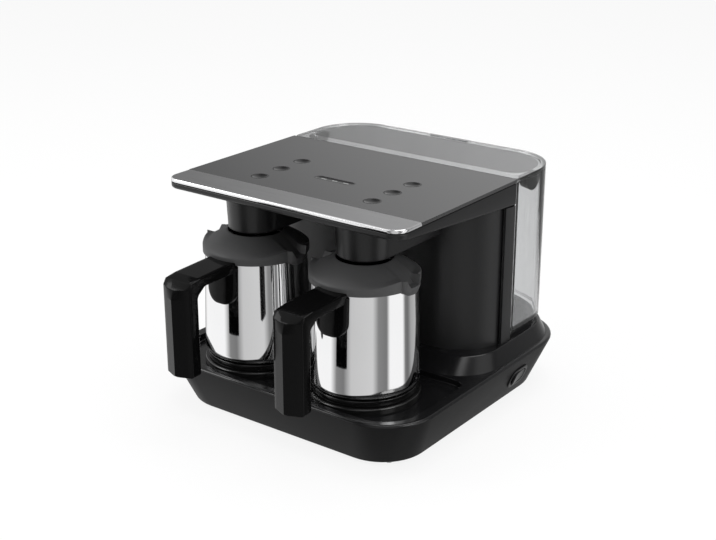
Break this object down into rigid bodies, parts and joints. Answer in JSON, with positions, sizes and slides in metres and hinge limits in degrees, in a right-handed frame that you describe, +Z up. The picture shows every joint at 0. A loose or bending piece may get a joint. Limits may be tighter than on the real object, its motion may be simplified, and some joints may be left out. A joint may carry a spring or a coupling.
{
  "type": "electric turkish coffee maker",
  "caption": "Free-standing twin-pot electric coffee maker with lift-out steel pots, touch deck, brew heads, hot plates, power rocker and a rear lift-off water tank with hinged lid.",
  "frame": {"origin": "middle of the overall box, on the table under the feet", "axes": "+Z up, +Y to the rear where the tank is, +X to the right seen from the front"},
  "size_m": [0.28, 0.3378, 0.212],
  "materials": {
    "black_shell": "fine satin moulded black",
    "gloss_black": "polished black",
    "inner_black": "plain moulded black",
    "deck_glass": "smooth dark grey satin deck",
    "brushed_strip": "brushed with a bright bevel",
    "seal_rubber": "matt black",
    "foot_rubber": "matt",
    "polished_steel": "mirror polished",
    "collar_grey": "fine satin dark grey",
    "display": "dark window",
    "clear_tank": "clear moulded tank",
    "smoke_lid": "smoke translucent",
    "steel": "plain",
    "white_plastic": "plain",
    "silicone": "translucent",
    "board_green": "coated board",
    "rocker_grey": "satin"
  },
  "bodies": {
    "root": {"base_housing": "gloss_black", "rear_platform": "gloss_black", "bottom_cover": "inner_black", "rubber_feet": "foot_rubber", "bottom_screws": "steel", "mains_gland": "seal_rubber", "power_board": "board_green", "switch_bezel": "gloss_black", "switch_block": "white_plastic", "column_housing": "black_shell", "rear_panel": "black_shell", "header_housing": "black_shell", "plate_seal": "seal_rubber", "front_strip": "brushed_strip", "control_plate": "deck_glass", "display_window": "display", "key_board": "board_green", "water_pump": "white_plastic", "pump_mount": "seal_rubber", "inlet_socket": "inner_black", "inlet_seal": "silicone", "inlet_hose": "silicone", "hotplate_left": "gloss_black", "hotplate_seal_left": "seal_rubber", "heating_element_left": "steel", "thermostat_left": "white_plastic", "brew_head_left": "black_shell", "water_nozzle_left": "inner_black", "overflow_sensor_left": "display", "water_tube_left": "silicone", "hotplate_right": "gloss_black", "hotplate_seal_right": "seal_rubber", "heating_element_right": "steel", "thermostat_right": "white_plastic", "brew_head_right": "black_shell", "water_nozzle_right": "inner_black", "overflow_sensor_right": "display", "water_tube_right": "silicone"},
    "key_left_1": {"key_left_1": "deck_glass"},
    "key_left_2": {"key_left_2": "deck_glass"},
    "key_left_3": {"key_left_3": "deck_glass"},
    "pot_left": {"pot_body_left": "polished_steel", "pot_ring_left": "gloss_black", "pot_collar_left": "collar_grey", "pot_handle_left": "gloss_black"},
    "key_right_1": {"key_right_1": "deck_glass"},
    "key_right_2": {"key_right_2": "deck_glass"},
    "key_right_3": {"key_right_3": "deck_glass"},
    "pot_right": {"pot_body_right": "polished_steel", "pot_ring_right": "gloss_black", "pot_collar_right": "collar_grey", "pot_handle_right": "gloss_black"},
    "power_rocker": {"power_rocker": "rocker_grey"},
    "tank": {"tank_shell": "clear_tank", "tank_grips": "inner_black", "lid_pin": "steel"},
    "lid": {"tank_lid": "smoke_lid"},
    "valve": {"tank_valve": "inner_black"}
  },
  "joints": [
    {"name": "press_left_1", "type": "slide", "parent": "root", "child": "key_left_1", "axis": [0, 0, -1], "range_m": [0, 0.0008], "stiffness_N_per_m": 800, "springref_m": -0.0006},
    {"name": "press_left_2", "type": "slide", "parent": "root", "child": "key_left_2", "axis": [0, 0, -1], "range_m": [0, 0.0008], "stiffness_N_per_m": 800, "springref_m": -0.0006},
    {"name": "press_left_3", "type": "slide", "parent": "root", "child": "key_left_3", "axis": [0, 0, -1], "range_m": [0, 0.0008], "stiffness_N_per_m": 800, "springref_m": -0.0006},
    {"name": "press_right_1", "type": "slide", "parent": "root", "child": "key_right_1", "axis": [0, 0, -1], "range_m": [0, 0.0008], "stiffness_N_per_m": 800, "springref_m": -0.0006},
    {"name": "press_right_2", "type": "slide", "parent": "root", "child": "key_right_2", "axis": [0, 0, -1], "range_m": [0, 0.0008], "stiffness_N_per_m": 800, "springref_m": -0.0006},
    {"name": "press_right_3", "type": "slide", "parent": "root", "child": "key_right_3", "axis": [0, 0, -1], "range_m": [0, 0.0008], "stiffness_N_per_m": 800, "springref_m": -0.0006},
    {"name": "pot_out_left", "type": "slide", "parent": "root", "child": "pot_left", "axis": [0, -1, 0], "range_m": [0, 0.14]},
    {"name": "pot_out_right", "type": "slide", "parent": "root", "child": "pot_right", "axis": [0, -1, 0], "range_m": [0, 0.14]},
    {"name": "rocker_tilt", "type": "hinge", "parent": "root", "child": "power_rocker", "pos_m": [0.13056, 0.07945, 0.024], "axis": [0.366, 0, 0.9306], "range_deg": [-12, 0]},
    {"name": "tank_lift", "type": "slide", "parent": "root", "child": "tank", "axis": [0, 0, 1], "range_m": [0, 0.15]},
    {"name": "lid_open", "type": "hinge", "parent": "tank", "child": "lid", "pos_m": [0, 0.15885, 0.2104], "axis": [-1, 0, 0], "range_deg": [0, 100]},
    {"name": "valve_close", "type": "slide", "parent": "tank", "child": "valve", "axis": [0, 0, -1], "range_m": [0, 0.003]}
  ],
  "couplings": [
    {"joint": "valve_close", "follows": "tank_lift", "ratio": 0.0199}
  ]
}
